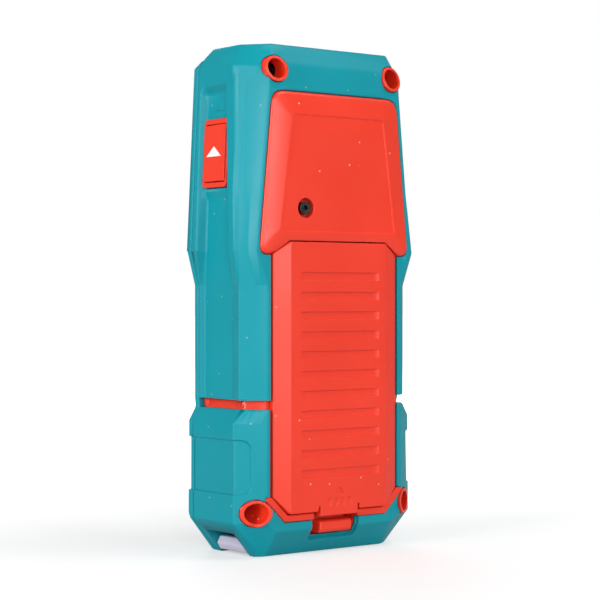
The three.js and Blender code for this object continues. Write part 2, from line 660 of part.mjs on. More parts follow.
function raisedTriangle() {
  const [w, h, proud] = [3.8, 2.4, 0.2];
  const outline = polygon([[-w / 2, -h / 2], [w / 2, -h / 2], [0, h / 2]]);
  const up = 11.2; // from the middle of the button
  return onSide(slabX(outline, -0.5, proud).translate([-GROOVE_DEEP, -BUTTON_Y - 0.6, up]));
}

function upperOvermold() {
  const grip = skin(BAND_HIGH, HEIGHT);
  return cut(
    join(grip, raisedTriangle()),
    slabY(panelOutline(BOND), 0, FAR),
    sidePlate(BUTTON_FRAME.w + 2 * BOND, BUTTON_FRAME.h + 2 * BOND, 1.2, -7, 6),
    topOpening(0),
  );
}

function lowerOvermold() {
  const [low, high] = [LATCH_LOW - 1.6, COVER_BOTTOM - RIM + 1];
  const outline = roundRect(0, (low + high) / 2, 2 * LATCH_RECESS_HALF, high - low, 1.2);
  const shallow = slabY(outline, 0, FAR).subtract(body(STATIONS, { shrink: SKIN - 0.5 }));
  const deep = box(-LATCH_RECESS_HALF + 0.6, LATCH_RECESS_HALF - 0.6, 0, FAR, LATCH_LOW - 0.5, high);
  return cut(
    join(skin(0, BAND_LOW), strapPocket(STRAP_LINING).intersect(envelope)),
    ...padCut(),
    shallow,
    deep,
    rimOutline(BOND, 0, FAR),
    strapPocket(0),
    strapBar(0.2),
  );
}

// ---------------------------------------------------------------------------------------------
// Front case
// ---------------------------------------------------------------------------------------------
const FRONT_IN = -FRONT + FRONT_WALL; // inner face of the front wall
const FLANGE_FRONT = FRONT_IN + JOINT_GAP;
const MAT_FRONT = FLANGE_FRONT + KEY_FLANGE + KEY_TRAVEL + 0.1;
const MAT_BACK = MAT_FRONT + MAT_THICK;
const BOARD_FRONT = MAT_BACK + 0.2;
const BOARD_BACK = BOARD_FRONT + BOARD_THICK;
const keyAt = (key) => ({ x: key.column * KEY_COLUMN, z: KEY_ROWS[key.row] });

function keyShape(key, grow) {
  const { x, z } = keyAt(key);
  const [w, h] = [key.w + 2 * grow, key.h + 2 * grow];
  return roundRect(x, z, w, h, Math.min(w, h) / 2 - (key.name === "key_measure" ? 0.01 : 1.4));
}

function windowShape(grow) {
  const { half, low, high, corner } = WINDOW;
  return roundRect(0, (low + high) / 2, 2 * (half + grow), high - low + 2 * grow, corner + grow);
}

const frontPost = (x, z, r, y1) => rodY(x, z, r, FRONT_IN - 0.3, y1, 20);
const boardPosts = () => bothSides((side) => ({ x: side * BOARD_POST.x, z: BOARD_POST.z }));

function frontHousing() {
  const shell = cut(
    envelope.intersect(frontOf(PARTING)),
    body(STATIONS, { shrink: FRONT_WALL }),
  );
  const posts = [
    ...BOSSES.map(({ x, z }) => frontPost(x, z, BOSS_R - 0.2, PARTING).intersect(envelope)),
    ...boardPosts().map(({ x, z }) => frontPost(x, z, BOARD_POST.r, BOARD_FRONT - 0.2)),
  ];
  return cut(
    join(shell, ...posts),
    ...padCut(),
    slabY(windowShape(0.15), -FAR, -FRONT + WINDOW.thick + 0.25),
    slabY(windowShape(-VIEW_MARGIN), -FAR, 0),
    ...KEYS.map((key) => slabY(keyShape(key, SLIDE_GAP), -FAR, 0)),
    ...BOSSES.map(({ x, z }) => rodY(x, z, SCREW_R + 0.1, -FRONT + 1.2, 0, 16)),
    ...boardPosts().map(({ x, z }) => rodY(x, z, SCREW_R - 0.1, FRONT_IN, 0, 12)),
  );
}

// ---------------------------------------------------------------------------------------------
// Battery cover and latch
// ---------------------------------------------------------------------------------------------
const RIB = {
  count: 11,
  left: 11.2,
  right: -10.7,
  ramp: 1.55,
  height: 1.75,
  deep: 0.42,
  low: COVER_BOTTOM + 8.9,
};
const RIB_PITCH = (COVER_TOP - 7.9 - RIB.low) / (RIB.count - 1);

function ribGroove(k) {
  const z = RIB.low + k * RIB_PITCH;
  const section = polygon([
    [RIB.right, COVER_FLAT - RIB.deep],
    [RIB.left, COVER_FLAT - RIB.deep],
    [RIB.left, COVER_FLAT + 1],
    [RIB.right - RIB.ramp, COVER_FLAT + 1],
    [RIB.right - RIB.ramp, COVER_FLAT],
  ]);
  return slabZ(section, z - RIB.height / 2, z + RIB.height / 2);
}

function openMark() {
  const deep = COVER_FLAT - 0.25;
  const z = COVER_BOTTOM + 3.8;
  const arrow = slabY(polygon([[-1.7, z], [1.7, z], [0, z + 1.7]]), deep, FAR);
  const dashes = [-3, -1, 1, 3].map((x) => box(x - 0.55, x + 0.55, deep, FAR, z - 2.6, z - 0.9));
  return [arrow, ...dashes];
}

function batteryCover() {
  const [edge, flat, under] = [COVER_EDGE, COVER_FLAT, LEDGE + BOND];
  const section = polygon([
    [-COVER_HALF, under],
    [COVER_HALF, under],
    [COVER_HALF, edge],
    [COVER_FOLD, flat],
    [-COVER_FOLD, flat],
    [-COVER_HALF, edge],
  ]);
  const plate = slabZ(section, TONGUE_LOW, COVER_TOP);
  const tongue = box(-LATCH_HALF, LATCH_HALF, 0, FAR, TONGUE_LOW - 1, COVER_BOTTOM + 1);
  const outline = join(slabY(coverOutline(0), 0, FAR), tongue);
  const hollow = box(-BAY_HALF + 0.4, BAY_HALF - 0.4, 0, flat - COVER_THICK, BAY_BOTTOM, BAY_TOP);
  const slots = bothSides((side) => {
    const a = side * (LATCH_HALF + LATCH_SLOT / 2);
    return box(a - LATCH_SLOT / 2, a + LATCH_SLOT / 2, 0, FAR, 0, COVER_BOTTOM + 1.3);
  });
  const hooks = bothSides((side) => {
    const [a, b] = [side * HOOK.x - HOOK.w / 2, side * HOOK.x + HOOK.w / 2];
    const root = COVER_TOP - 1.8;
    const post = box(a, b, HOOK.y - HOOK.thick, under + 0.2, root, COVER_TOP - 0.4);
    const toe = box(a, b, HOOK.y - HOOK.thick, HOOK.y, root, COVER_TOP + HOOK.reach);
    return join(post, toe);
  });
  return cut(
    join(plate.intersect(outline), ...hooks),
    hollow,
    ...slots,
    ...openMark(),
    ...Array.from({ length: RIB.count }, (_, k) => ribGroove(k)),
  );
}

function latch() {
  const [low, high] = [LATCH_LOW, LATCH_HIGH];
  const back = LATCH_POCKET.floor + 0.5;
  const side = polygon([
    [back, low],
    [BACK - 0.6, low],
    [BACK + 0.1, low + 0.6],
    [BACK + 0.1, high - 0.3],
    [BACK - 0.6, high],
    [back + 1.1, high],
    [back + 1.1, TONGUE_LOW + 2.6],
    [back, TONGUE_LOW + 2.6],
  ]);
  return slabX(side, -LATCH_HALF + 0.8, LATCH_HALF - 0.8);
}

// ---------------------------------------------------------------------------------------------
// Batteries and contacts
// ---------------------------------------------------------------------------------------------
const cellX = (k) => (k - (CELL_COUNT - 1) / 2) * CELL_PITCH;
const plusUp = (k) => k % 2 === 0; // the cells stand head to tail

function cell(k) {
  const barrel = CELL_LENGTH - NUB_LENGTH;
  const profile = [
    [0, 0],
    [CELL_R - 0.4, 0],
    [CELL_R, 0.4],
    [CELL_R, barrel - 0.4],
    [CELL_R - 0.4, barrel],
    [NUB_R, barrel],
    [NUB_R, CELL_LENGTH],
    [0, CELL_LENGTH],
  ];
  const upright = turnedZ(profile, 0, 0);
  const [x, y] = [cellX(k), CELL_Y];
  const top = BAY_TOP - PLATE - 2 * JOINT_GAP;
  const bottom = BAY_BOTTOM + PLATE + 2 * JOINT_GAP;
  if (plusUp(k)) return upright.translate([x, y, top - CELL_LENGTH]);
  return upright.rotate([180, 0, 0]).translate([x, y, bottom + CELL_LENGTH]);
}

// Conical coil at the flat end of a cell.
class Coil extends THREE.Curve {
  getPoint(t) {
    const turns = 3;
    const r = 3.9 - 1.6 * t;
    const angle = 2 * Math.PI * turns * t;
    const rise = SPRING_LENGTH - JOINT_GAP - 2 * SPRING_WIRE_R;
    return v(r * Math.cos(angle), r * Math.sin(angle), SPRING_WIRE_R + t * rise);
  }
}

function spring(k) {
  const r = SPRING_WIRE_R;
  const wire = polygon(
    Array.from({ length: 6 }, (_, i) => [r * Math.cos((i * Math.PI) / 3), r * Math.sin((i * Math.PI) / 3)]),
  );
  const geometry = new THREE.ExtrudeGeometry(wire, { steps: 30, extrudePath: new Coil() });
  const upright = solidOf(geometry);
  const z = PLATE + 1.5 * JOINT_GAP;
  const [x, y] = [cellX(k), CELL_Y];
  if (plusUp(k)) return upright.translate([x, y, BAY_BOTTOM + z]);
  return upright.rotate([180, 0, 0]).translate([x, y, BAY_TOP - z]);
}

function contactPlate(firstCell, lastCell, top) {
  const [a, b] = [cellX(firstCell) - 4.6, cellX(lastCell) + 4.6];
  const z = top ? BAY_TOP - PLATE - JOINT_GAP / 2 : BAY_BOTTOM + JOINT_GAP / 2;
  return box(a, b, CELL_Y - 4.2, CELL_Y + 4.2, z, z + PLATE);
}

// ---------------------------------------------------------------------------------------------
// Side button
// ---------------------------------------------------------------------------------------------
const BUTTON_FACE = -0.55; // below the rim of the side face
const FRAME_BACK = -3.4;

function sideButtonFrame() {
  const outer = sidePlate(BUTTON_FRAME.w, BUTTON_FRAME.h, 1.1, FRAME_BACK, BUTTON_FACE - 0.25);
  return cut(outer, sidePlate(BUTTON_CAP.w + 2 * 0.25, BUTTON_CAP.h + 2 * 0.25, 0.6, FRAME_BACK - 1, 6));
}

function sideButton() {
  const { w, h } = BUTTON_CAP;
  const cap = sidePlate(w, h, 0.5, FRAME_BACK - JOINT_GAP - 0.1, BUTTON_FACE);
  return join(cap, sidePlate(w + 1.1, h + 1.4, 0.5, FRAME_BACK - 0.9, FRAME_BACK - JOINT_GAP));
}

const SWITCH_FRONT = FRAME_BACK - 0.9 - BUTTON_TRAVEL - 0.15;

function sideSwitch() {
  const base = onSide(box(SWITCH_FRONT - 2.3, SWITCH_FRONT - 0.6, -2.6, 2.6, -2.6, 2.6));
  const plungerShape = roundRect(0, 0, 2.4, 2.4, 0.8);
  return join(base, onSide(slabX(plungerShape, SWITCH_FRONT - 0.8, SWITCH_FRONT)));
}

const sideSwitchBoard = () =>
  onSide(box(SWITCH_FRONT - 3.6, SWITCH_FRONT - 2.6, -4.2, 4.2, -6.4, 6.4));

// ---------------------------------------------------------------------------------------------
// Front pieces: window, display, keys, board
// ---------------------------------------------------------------------------------------------
const displayWindow = () => slabY(windowShape(0), -FRONT + 0.05, -FRONT + WINDOW.thick);

function displayPanel() {
  const half = WINDOW.half - 1.4;
  return box(-half, half, FLANGE_FRONT, MAT_FRONT - 0.2, WINDOW.low + 1.4, WINDOW.high - 1.4);
}

function displayBacklight() {
  const half = WINDOW.half - 1.4;
  return box(-half, half, MAT_FRONT, MAT_BACK, WINDOW.low + 1.4, WINDOW.high - 1.4);
}

function keyCap(key) {
  const cap = slabY(keyShape(key, 0), -FRONT - KEY_PROUD, FLANGE_FRONT + 0.1);
  const flange = slabY(keyShape(key, 0.8), FLANGE_FRONT, FLANGE_FRONT + KEY_FLANGE);
  return join(cap, flange);
}

function keypadMat() {
  const low = KEY_ROWS.at(-1) - 6.4;
  const high = KEY_ROWS[0] + 8.2;
  const half = BOARD.half - 0.5;
  return slabY(roundRect(0, (low + high) / 2, 2 * half, high - low, 2), MAT_FRONT, MAT_BACK);
}

function mainBoard() {
  const { half, low, high } = BOARD;
  const holes = boardPosts().map(({ x, z }) => rodY(x, z, SCREW_R + 0.15, -FAR, 0, 12));
  return cut(box(-half, half, BOARD_FRONT, BOARD_BACK, low, high), ...holes);
}

const ON_BOARD = BOARD_BACK + 0.05; // where the chip and the buzzer stand

function processorChip() {
  const { half, low, thick } = CHIP;
  return box(-half, half, ON_BOARD, ON_BOARD + thick, low, low + 2 * half);
}

function boardScrew({ x, z }) {
  const y = BOARD_BACK + 0.1;
  return join(rodY(x, z, 1.7, y, y + 1.1, 16), rodY(x, z, SCREW_R - 0.3, BOARD_FRONT - 2.2, y + 0.2, 10));
}

// ---------------------------------------------------------------------------------------------
// Optics in the top end
// ---------------------------------------------------------------------------------------------
const SENSOR_Z = OPTICS.low + 2.2;
const LENS_LOW = OPTICS.high - 4.4;
const BARREL_LOW = OPTICS.low + 5.5;

function opticsBlock() {
  const o = OPTICS;
  const block = box(-o.half, o.half, BOARD_BACK + JOINT_GAP, o.yBack, o.low, o.high);
  const { x, z } = PANEL_SCREW;
  const ear = box(x - 3.4, x + 3.4, 4.6, CORE_BACK - 0.7, z - 3.6, o.low + 1);
  const funnel = rodZ(RECEIVER.x, RECEIVER.y, 3, SENSOR_Z + 3, LENS_LOW + 0.1, 24, RECEIVER.r - 0.4);
  return cut(
    join(block, ear),
    funnel,
    rodZ(RECEIVER.x, RECEIVER.y, RECEIVER.r + 0.25, LENS_LOW, HEIGHT, 28),
    rodZ(RECEIVER.x, RECEIVER.y, 2.9, o.low - 1, SENSOR_Z + 3.1, 20),
    rodZ(EMITTER.x, EMITTER.y, BARREL_R + 0.25, o.low - 1, HEIGHT, 20),
    rodY(x, z, SCREW_R - 0.1, 0, FAR, 12),
  );
}

function receiverLens() {
  const [low, r] = [LENS_LOW + 0.3, RECEIVER.r];
  const [rim, dome] = [1.6, 1.5];
  const steps = [0, 0.25, 0.5, 0.75].map((t) => (t * Math.PI) / 2);
  const curve = steps.map((angle) => [r * Math.cos(angle), low + rim + dome * Math.sin(angle)]);
  const profile = [[0, low], [r, low], ...curve, [0, low + rim + dome]];
  return turnedZ(profile, RECEIVER.x, RECEIVER.y, 28);
}

const receiverSensor = () =>
  join(
    rodZ(RECEIVER.x, RECEIVER.y, 2.6, SENSOR_Z - 1.2, SENSOR_Z + 2.2, 20),
    rodZ(RECEIVER.x, RECEIVER.y, 2.75, SENSOR_Z - 1.6, SENSOR_Z - 1.0, 20),
  );

function laserBarrel() {
  const outer = rodZ(EMITTER.x, EMITTER.y, BARREL_R, BARREL_LOW, OPTICS.high - 0.6, 24);
  return cut(
    outer,
    rodZ(EMITTER.x, EMITTER.y, 2.3, BARREL_LOW - 1, OPTICS.high - 4, 20),
    rodZ(EMITTER.x, EMITTER.y, 2.75, OPTICS.high - 4.1, OPTICS.high, 20),
  );
}

const laserLens = () => {
  const low = OPTICS.high - 3.7;
  const r = 2.5;
  const profile = [[0, 0], [r, 0], [r, 1], [r * 0.8, 1.6], [r * 0.4, 1.95], [0, 2.05]];
  return turnedZ(profile.map(([a, b]) => [a, low + b]), EMITTER.x, EMITTER.y, 20);
};

const laserDiode = () =>
  join(
    rodZ(EMITTER.x, EMITTER.y, 1.9, OPTICS.low + 3, BARREL_LOW + 3, 20),
    rodZ(EMITTER.x, EMITTER.y, 2.8, OPTICS.low + 3.4, OPTICS.low + 4.6, 20),
  );

function aperturePlate() {
  const a = APERTURE;
  const high = HEIGHT - a.sunk;
  const [w, d] = [2 * (a.half - JOINT_GAP), a.yBack - a.yFront - 2 * JOINT_GAP];
  const outline = roundRect(0, (a.yFront + a.yBack) / 2, w, d, a.corner);
  const funnel = (at, r) => rodZ(at.x, at.y, r, high - a.thick - 1, high + 0.01, 28, r + 0.9);
  return cut(
    slabZ(outline, high - a.thick, high),
    funnel(RECEIVER, RECEIVER.r - 0.8),
    funnel(EMITTER, EMITTER.r),
  );
}

// ---------------------------------------------------------------------------------------------
// Small pieces
// ---------------------------------------------------------------------------------------------
function strapBar(grow) {
  const { x, z, r } = STRAP_BAR;
  const turn = Math.PI / 6;
  const bar = new THREE.CylinderGeometry(r, r, 1, 6).rotateY(turn);
  const [a, b] = [STRAP.yFront + JOINT_GAP, STRAP.yBack - JOINT_GAP];
  const middle = solidOf(bar.scale(1, b - a, 1).translate(x, (a + b) / 2, z));
  const reach = STRAP_LINING + BOND + 0.75 + grow;
  const pin = rodY(x, z, r - 0.75 + grow, STRAP.yFront - reach, STRAP.yBack + reach, 16);
  return grow ? pin : join(middle, pin);
}

// Flat-headed screw with a six-pointed socket, axis along Y, head towards the back.
function screw(x, z, headY, headR, length) {
  const socket = polygon(
    Array.from({ length: 12 }, (_, i) => {
      const r = headR * (i % 2 ? 0.38 : 0.55);
      const angle = (i * Math.PI) / 6;
      return [x + r * Math.cos(angle), z + r * Math.sin(angle)];
    }),
  );
  const head = rodY(x, z, headR, headY - 1.5, headY, 20);
  const shank = rodY(x, z, headR * 0.45, headY - length, headY - 1.4, 12);
  return cut(join(head, shank), slabY(socket, headY - 0.9, headY + 1));
}

// ---------------------------------------------------------------------------------------------
// Assembly
// ---------------------------------------------------------------------------------------------
place("rear_housing", rearHousing(), orange);
place("upper_overmold", upperOvermold(), teal);
place("lower_overmold", lowerOvermold(), teal);
place("front_housing", frontHousing(), teal);
place("battery_cover", batteryCover(), orange);
place("battery_cover_latch", latch(), orange);
for (let k = 0; k < CELL_COUNT; k++) {
  place(`battery_cell_${k + 1}`, cell(k), cellWrap);
  place(`battery_spring_${k + 1}`, spring(k), steel);
}
place("contact_plate_top_left", contactPlate(0, 0, true), steel);
place("contact_plate_top_right", contactPlate(1, 2, true), steel);
place("contact_plate_bottom_left", contactPlate(0, 1, false), steel);
place("contact_plate_bottom_right", contactPlate(2, 2, false), steel);
place("side_button_frame", sideButtonFrame(), orange);
place("side_button", sideButton(), orange);
place("side_switch", sideSwitch(), black);
place("side_switch_board", sideSwitchBoard(), board);
place("display_window", displayWindow(), glass);
place("display_panel", displayPanel(), lcd);
place("display_backlight", displayBacklight(), steel);
place("keypad_mat", keypadMat(), rubber);
for (const key of KEYS) place(key.name, keyCap(key), key.name === "key_measure" ? orange : rubber);
place("main_board", mainBoard(), board);
boardPosts().forEach((at, k) => place(`board_screw_${k + 1}`, boardScrew(at), steel));
place("processor_chip", processorChip(), black);
place("buzzer", rodY(BUZZER.x, BUZZER.z, BUZZER.r, ON_BOARD, ON_BOARD + BUZZER.thick, 24), black);
place("optics_block", opticsBlock(), black);
place("receiver_lens", receiverLens(), glass);
place("receiver_sensor", receiverSensor(), brass);
place("laser_barrel", laserBarrel(), brass);
place("laser_lens", laserLens(), glass);
place("laser_diode", laserDiode(), steel);
place("aperture_plate", aperturePlate(), black);
place("strap_bar", strapBar(0), steel);
BOSSES.forEach(({ x, z }, k) => {
  place(`case_screw_${k + 1}`, screw(x, z, WELL_FLOOR + 1.7, SCREW_HEAD_R, SCREW_LENGTH), darkSteel);
});
place(
  "panel_screw",
  screw(PANEL_SCREW.x, PANEL_SCREW.z, PANEL_FLAT - PANEL_SCREW_DEPTH + 1.65, 1.55, 6),
  darkSteel,
);

export default group;
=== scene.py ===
# Handheld laser distance meter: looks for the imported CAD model, in metres, in the CAD frame.
import json
import math

import bmesh
import bpy
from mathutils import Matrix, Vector
from mathutils.bvhtree import BVHTree
from mathutils.kdtree import KDTree


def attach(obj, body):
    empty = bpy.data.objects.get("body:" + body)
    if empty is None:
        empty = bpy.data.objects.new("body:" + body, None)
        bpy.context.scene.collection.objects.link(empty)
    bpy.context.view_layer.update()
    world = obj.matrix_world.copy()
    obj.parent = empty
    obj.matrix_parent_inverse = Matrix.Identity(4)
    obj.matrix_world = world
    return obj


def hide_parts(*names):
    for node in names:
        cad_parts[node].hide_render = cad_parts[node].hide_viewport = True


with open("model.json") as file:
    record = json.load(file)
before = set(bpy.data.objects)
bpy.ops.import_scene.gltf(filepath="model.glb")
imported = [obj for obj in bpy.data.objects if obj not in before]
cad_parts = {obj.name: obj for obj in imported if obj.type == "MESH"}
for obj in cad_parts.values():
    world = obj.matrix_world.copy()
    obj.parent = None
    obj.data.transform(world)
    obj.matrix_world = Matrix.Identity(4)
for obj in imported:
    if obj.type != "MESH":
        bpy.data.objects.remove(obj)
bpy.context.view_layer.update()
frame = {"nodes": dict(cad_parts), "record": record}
MM = 0.001


# --------------------------------------------------------------------------------------------
# Materials
# --------------------------------------------------------------------------------------------
class Nodes:
    """A new material and short ways to add nodes to it."""

    def __init__(self, name):
        self.material = bpy.data.materials.new(name)
        self.material.use_nodes = True
        self.tree = self.material.node_tree
        self.bsdf = self.tree.nodes["Principled BSDF"]
        self.where = self.add("ShaderNodeTexCoord").outputs["Object"]

    def add(self, kind, **values):
        node = self.tree.nodes.new(kind)
        for key, value in values.items():
            setattr(node, key, value)
        return node

    def put(self, socket, value):
        if isinstance(value, bpy.types.NodeSocket):
            self.tree.links.new(value, socket)
        else:
            socket.default_value = value

    def noise(self, scale, detail=3.0, rough=0.5, vector=None):
        node = self.add("ShaderNodeTexNoise")
        self.put(node.inputs["Vector"], vector or self.where)
        self.put(node.inputs["Scale"], scale)
        self.put(node.inputs["Detail"], detail)
        self.put(node.inputs["Roughness"], rough)
        return node.outputs["Fac"]

    def stretched(self, scale):
        node = self.add("ShaderNodeMapping")
        self.put(node.inputs["Vector"], self.where)
        self.put(node.inputs["Scale"], scale)
        return node.outputs["Vector"]

    def ramp(self, fac, low, high, a=0.0, b=1.0):
        """Goes smoothly from a to b as fac goes from low to high, whichever of those is the larger."""
        node = self.add("ShaderNodeMapRange")
        node.interpolation_type = "SMOOTHSTEP"
        ends = {"Value": fac, "From Min": low, "From Max": high, "To Min": a, "To Max": b}
        for key, value in ends.items():
            self.put(node.inputs[key], value)
        return node.outputs["Result"]

    def math(self, operation, *values):
        node = self.add("ShaderNodeMath", operation=operation)
        for socket, value in zip(node.inputs, values):
            self.put(socket, value)
        return node.outputs[0]

    def mix(self, fac, a, b):
        node = self.add("ShaderNodeMix", data_type="RGBA")
        for socket, value in zip((node.inputs[0], node.inputs[6], node.inputs[7]), (fac, a, b)):
            self.put(socket, value)
        return node.outputs[2]

    def bump(self, height, distance, strength=1.0, normal=None):
        node = self.add("ShaderNodeBump")
        self.put(node.inputs["Height"], height)
        self.put(node.inputs["Distance"], distance)
        self.put(node.inputs["Strength"], strength)
        if normal:
            self.put(node.inputs["Normal"], normal)
        return node.outputs["Normal"]

    def edges(self, radius):
        """1 along sharp edges, falling to 0 on the flats, and the rounded normal."""
        soft = self.add("ShaderNodeBevel", samples=4)
        self.put(soft.inputs["Radius"], radius)
        sharp = self.add("ShaderNodeNewGeometry").outputs["Normal"]
        dot = self.add("ShaderNodeVectorMath", operation="DOT_PRODUCT")
        self.put(dot.inputs[0], soft.outputs["Normal"])
        self.put(dot.inputs[1], sharp)
        return self.ramp(dot.outputs["Value"], 0.985, 0.90), soft.outputs["Normal"]

    def specks(self):
        """1 on a few dots of dust, 0 elsewhere: a dot in the middle of some of the cells."""
        cells = self.add("ShaderNodeTexVoronoi")
        self.put(cells.inputs["Vector"], self.where)
        self.put(cells.inputs["Scale"], 330.0)
        parted = self.add("ShaderNodeSeparateColor")
        self.put(parted.inputs[0], cells.outputs["Color"])
        dot = self.ramp(cells.outputs["Distance"], 0.09, 0.05)
        return self.math("MULTIPLY", dot, self.math("GREATER_THAN", parted.outputs[0], 0.72))

    def finish(self, color, roughness, normal=None, metallic=0.0, specular=0.5, **more):
        self.put(self.bsdf.inputs["Base Color"], color)
        self.put(self.bsdf.inputs["Roughness"], roughness)
        self.put(self.bsdf.inputs["Metallic"], metallic)
        self.put(self.bsdf.inputs["Specular IOR Level"], specular)
        for key, value in more.items():
            self.put(self.bsdf.inputs[key.replace("_", " ")], value)
        if normal:
            self.put(self.bsdf.inputs["Normal"], normal)
        return self.material


def linear(r, g, b):
    """sRGB 0-255 to a linear colour."""
    shares = (c / 255 for c in (r, g, b))
    return tuple(c / 12.92 if c < 0.0405 else ((c + 0.055) / 1.055) ** 2.4 for c in shares) + (1.0,)


def scaled(color, k):
    """A colour made k times as bright."""
    return tuple(min(1.0, c * k) for c in color[:3]) + (1.0,)


DUST = (0.85, 0.74, 0.70, 1.0)


def moulded(name, color, roughness, grain, depth, edge_light, radius, dust=0.0, specular=0.45):
    """Moulded plastic, rubber or a satin coat: fine grain, faint variation, dust, edges paler from wear
    and a painted highlight.
    """
    n = Nodes(name)
    edge, soft = n.edges(radius)
    flow = n.ramp(n.noise(28, 4), 0.3, 0.7)
    tone = n.mix(flow, scaled(color, 0.95), scaled(color, 1.04))
    # Paler edges: partly wear, partly a painted highlight for the shine along small roundings.
    worn_and_lit_edge = scaled([c * 1.25 + 0.06 for c in color[:3]], 1.0)
    tone = n.mix(n.math("MULTIPLY", edge, edge_light), tone, worn_and_lit_edge)
    tone = n.mix(n.math("MULTIPLY", n.specks(), dust), tone, DUST)
    grit = n.noise(grain, 2, 0.6)
    rough = n.ramp(n.noise(60, 3), 0.25, 0.75, roughness - 0.05, roughness + 0.06)
    return n.finish(tone, rough, n.bump(grit, depth, 0.8, soft), specular=specular)


def metal(name, color, roughness, grain=(40, 40, 900), edge_brightness=0.1):
    """Bare or blackened metal with fine lines along it and brighter edges."""
    n = Nodes(name)
    edge, soft = n.edges(0.12 * MM)
    lines = n.noise(1.0, 3, 0.5, n.stretched(grain))
    tone = n.mix(n.ramp(lines, 0.3, 0.7), scaled(color, 0.9), scaled(color, 1.08))
    # Edges made brighter than the rest, by the given share.
    tone = n.mix(n.math("MULTIPLY", edge, edge_brightness), tone, scaled(color, 1.6))
    return n.finish(tone, n.ramp(lines, 0.3, 0.7, roughness - 0.04, roughness + 0.08),
                    n.bump(lines, 0.004 * MM, 0.5, soft), metallic=1.0)


def glossy(name, color, roughness, **more):
    """Glass or clear plastic with faint smudges."""
    n = Nodes(name)
    smudge = n.ramp(n.noise(90, 4), 0.35, 0.7, roughness, roughness + 0.06)
    tone = n.mix(n.ramp(n.noise(50, 3), 0.3, 0.7), scaled(color, 0.92), scaled(color, 1.05))
    return n.finish(tone, smudge, n.bump(n.noise(300, 2), 0.002 * MM, 0.3), **more)


def circuit_board(name):
    """Green board with paler copper tracks under its varnish."""
    n = Nodes(name)
    cells = n.add("ShaderNodeTexVoronoi", feature="DISTANCE_TO_EDGE", distance="MANHATTAN")
    n.put(cells.inputs["Vector"], n.where)
    n.put(cells.inputs["Scale"], 420.0)
    track = n.ramp(cells.outputs["Distance"], 0.06, 0.10, 1.0, 0.0)
    tone = n.mix(n.math("MULTIPLY", track, 0.6), linear(18, 84, 48), linear(40, 130, 70))
    return n.finish(tone, 0.38, n.bump(track, 0.02 * MM, 0.6), specular=0.5)


BAND_AT = 50.0 * MM  # height at which the band starts


def cell_sleeve(name):
    """Dark shrink sleeve with a paler band at one end."""
    n = Nodes(name)
    axis = n.add("ShaderNodeSeparateXYZ")
    n.put(axis.inputs[0], n.where)
    band = n.ramp(axis.outputs["Z"], BAND_AT, BAND_AT + 0.1 * MM)
    tone = n.mix(band, linear(38, 42, 48), linear(176, 150, 88))
    haze = n.ramp(n.noise(80, 3), 0.3, 0.7, 0.22, 0.34)
    return n.finish(tone, haze, n.bump(n.noise(160, 2), 0.01 * MM, 0.3), specular=0.5)


TEAL = linear(0, 148, 162)
ORANGE = linear(240, 55, 28)
MATERIALS = {
    "teal_skin": moulded("teal_skin", TEAL, 0.40, grain=5200, depth=0.010 * MM,
                         edge_light=0.25, radius=0.3 * MM, dust=0.25, specular=0.30),
    "orange_plastic": moulded("orange_plastic", ORANGE, 0.33, grain=4200, depth=0.006 * MM,
                              edge_light=0.25, radius=0.2 * MM, dust=0.6, specular=0.6),
    "black_plastic": moulded("black_plastic", linear(26, 27, 29), 0.5, grain=3600, depth=0.02 * MM,
                             edge_light=0.2, radius=0.2 * MM),
    "dark_rubber": moulded("dark_rubber", linear(38, 40, 44), 0.62, grain=3000, depth=0.02 * MM,
                           edge_light=0.2, radius=0.3 * MM),
    "bright_metal": metal("bright_metal", linear(205, 205, 208), 0.2),
    "satin_metal": moulded("satin_metal", linear(206, 200, 220), 0.42, grain=2500, depth=0.01 * MM,
                           edge_light=0.3, radius=0.3 * MM, dust=0.1),
    "black_screw": metal("black_screw", linear(84, 80, 80), 0.30, grain=(300, 300, 300), edge_brightness=0.3),
    "brass_metal": metal("brass_metal", linear(190, 150, 80), 0.25),
    "board_green": circuit_board("board_green"),
    "cell_wrap": cell_sleeve("cell_wrap"),
    "dark_window": glossy("dark_window", linear(22, 25, 28), 0.06, specular=0.5),
    "display_glass": glossy("display_glass", linear(120, 132, 120), 0.15, specular=0.5),
    "backlight": glossy("backlight", linear(225, 226, 220), 0.4, specular=0.4),
    "lens_glass": glossy("lens_glass", linear(60, 90, 96), 0.03, specular=0.6, Coat_Weight=0.5),
    "white_print": moulded("white_print", linear(238, 238, 236), 0.5, grain=3000, depth=0.005 * MM,
                           edge_light=0.0, radius=0.05 * MM),
}


def dress(obj, slot):
    obj.data.materials.clear()
    obj.data.materials.append(MATERIALS[slot])


SLOT_OF = {s["node"]: s["material_slot"] for s in frame["record"]["subparts"]}
for name, node in frame["nodes"].items():
    dress(node, SLOT_OF[name])


# --------------------------------------------------------------------------------------------
# Visible pieces with their edges rounded
# --------------------------------------------------------------------------------------------
BODIES = frame["record"]["behaviour"]["bodies"]
BODY_OF = {node: body for body, nodes in BODIES.items() for node in nodes}

FLAT_ANGLE = 9  # degrees: a fold shallower than this stays as it is
SHARP_ANGLE = 20  # degrees: a fold shallower than this is a crease, and gets a narrow rounding
CREASE_WIDTH = 0.12 * MM
CREASE_ROOM = 0.9 * MM  # a crease is rounded only where its faces are at least this broad
SHARE_OF_ROOM = 0.42  # how much of the room beside an edge its rounding may take
LEAST_WIDTH = 0.02 * MM  # a rounding no wider than this isn't made
TINY_WIDTH = 0.03 * MM  # a rounding that healing has narrowed below this is dropped
HEALING_PASSES = 6


def nearest(point, start, end):
    """Distance from a point to a straight piece from start to end."""
    along = end - start
    t = max(0.0, min(1.0, (point - start).dot(along) / max(along.length_squared, 1e-18)))
    return (point - start - t * along).length


